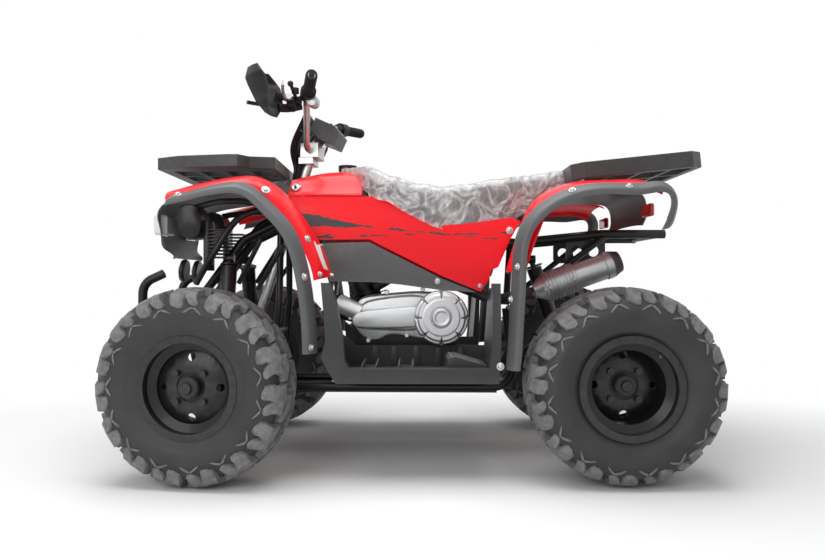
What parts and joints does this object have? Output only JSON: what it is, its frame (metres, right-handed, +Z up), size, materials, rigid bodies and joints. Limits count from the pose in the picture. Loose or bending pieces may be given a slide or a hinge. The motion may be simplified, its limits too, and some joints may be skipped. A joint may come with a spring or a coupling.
{
  "type": "four-wheeled utility quad bike",
  "caption": "Utility quad bike with balloon tyres, front and rear carriers, side footwells, a straddle seat and handlebar steering.",
  "frame": {"origin": "on the ground, midway between the axles, on the centre plane", "axes": "+Z up, -X towards the front, -Y towards the left side of the vehicle"},
  "size_m": [1.7496, 1.0972, 1.2097],
  "materials": {
    "gloss_red": "gloss",
    "grey_plastic": "satin",
    "black_plastic": "satin",
    "black_steel": "satin",
    "cast_aluminium": "satin",
    "muffler_silver": "satin",
    "tyre_rubber": "matte",
    "black_rubber": "matte",
    "wrapped_vinyl": "satin",
    "lamp_lens": "gloss",
    "red_lens": "gloss",
    "zinc_steel": "satin"
  },
  "bodies": {
    "chassis": {"beam_plates": "black_steel", "belt_cover": "cast_aluminium", "clutch_cover": "cast_aluminium", "engine": "black_steel", "exhaust": "muffler_silver", "footwell_left": "black_plastic", "footwell_right": "black_plastic", "frame": "black_steel", "front_arms": "black_steel", "front_bumper": "black_steel", "front_fender": "gloss_red", "front_flares": "grey_plastic", "front_rack": "black_plastic", "front_shocks": "black_steel", "fuel_cap": "black_plastic", "headlights": "lamp_lens", "inner_guards": "black_plastic", "intake_duct": "black_plastic", "lower_panels": "grey_plastic", "nose_cowl": "grey_plastic", "rear_fender": "gloss_red", "rear_flares": "grey_plastic", "rear_rack": "black_plastic", "rear_shock": "black_steel", "rear_subframe": "black_steel", "seat": "wrapped_vinyl", "side_panels": "gloss_red", "skid_plate": "black_plastic", "swing_arm": "black_steel", "tail_lights": "red_lens", "tail_shell": "grey_plastic", "tank_cover": "gloss_red"},
    "steering": {"steering_column": "black_steel", "handlebar": "black_steel", "grips": "black_rubber", "controls": "black_plastic", "instrument_pod": "grey_plastic", "hand_guards": "black_plastic", "hand_guard_arms": "black_plastic", "control_cables": "black_rubber"},
    "rear_axle": {"rear_axle": "black_steel", "rear_tyre_left": "tyre_rubber", "rear_tyre_right": "tyre_rubber", "rear_rim_left": "black_steel", "rear_rim_right": "black_steel"},
    "knuckle_left": {"knuckle_left": "black_steel"},
    "tie_rod_left": {"tie_rod_left": "black_steel"},
    "front_wheel_left": {"front_tyre_left": "tyre_rubber", "front_rim_left": "black_steel", "front_hub_left": "zinc_steel"},
    "knuckle_right": {"knuckle_right": "black_steel"},
    "tie_rod_right": {"tie_rod_right": "black_steel"},
    "front_wheel_right": {"front_tyre_right": "tyre_rubber", "front_rim_right": "black_steel", "front_hub_right": "zinc_steel"}
  },
  "joints": [
    {"name": "steering_turn", "type": "hinge", "parent": "chassis", "child": "steering", "pos_m": [-0.56, 0, 0.33], "axis": [0.3107, 0, 0.9505], "range_deg": [-27, 43]},
    {"name": "kingpin_left", "type": "hinge", "parent": "chassis", "child": "knuckle_left", "pos_m": [-0.59, -0.33, 0.276], "axis": [0, 0, 1], "range_deg": [-27, 43]},
    {"name": "tie_rod_ball_left", "type": "hinge", "parent": "knuckle_left", "child": "tie_rod_left", "pos_m": [-0.51573, -0.34044, 0.323], "axis": [0, 0, 1], "range_deg": [-43, 27]},
    {"name": "front_wheel_spin_left", "type": "hinge", "parent": "knuckle_left", "child": "front_wheel_left", "pos_m": [-0.60392, -0.42903, 0.276], "axis": [0.1392, 0.9903, 0], "continuous": true},
    {"name": "kingpin_right", "type": "hinge", "parent": "chassis", "child": "knuckle_right", "pos_m": [-0.59, 0.33, 0.276], "axis": [0, 0, 1], "range_deg": [-27, 43]},
    {"name": "tie_rod_ball_right", "type": "hinge", "parent": "knuckle_right", "child": "tie_rod_right", "pos_m": [-0.51573, 0.31956, 0.323], "axis": [0, 0, 1], "range_deg": [-43, 27]},
    {"name": "front_wheel_spin_right", "type": "hinge", "parent": "knuckle_right", "child": "front_wheel_right", "pos_m": [-0.57608, 0.42903, 0.276], "axis": [0.1392, 0.9903, 0], "continuous": true},
    {"name": "rear_axle_spin", "type": "hinge", "parent": "chassis", "child": "rear_axle", "pos_m": [0.59, 0, 0.276], "axis": [0, 1, 0], "continuous": true}
  ],
  "couplings": [
    {"joint": "kingpin_left", "follows": "steering_turn", "ratio": 1},
    {"joint": "tie_rod_ball_left", "follows": "steering_turn", "ratio": -1},
    {"joint": "kingpin_right", "follows": "steering_turn", "ratio": 1},
    {"joint": "tie_rod_ball_right", "follows": "steering_turn", "ratio": -1}
  ]
}
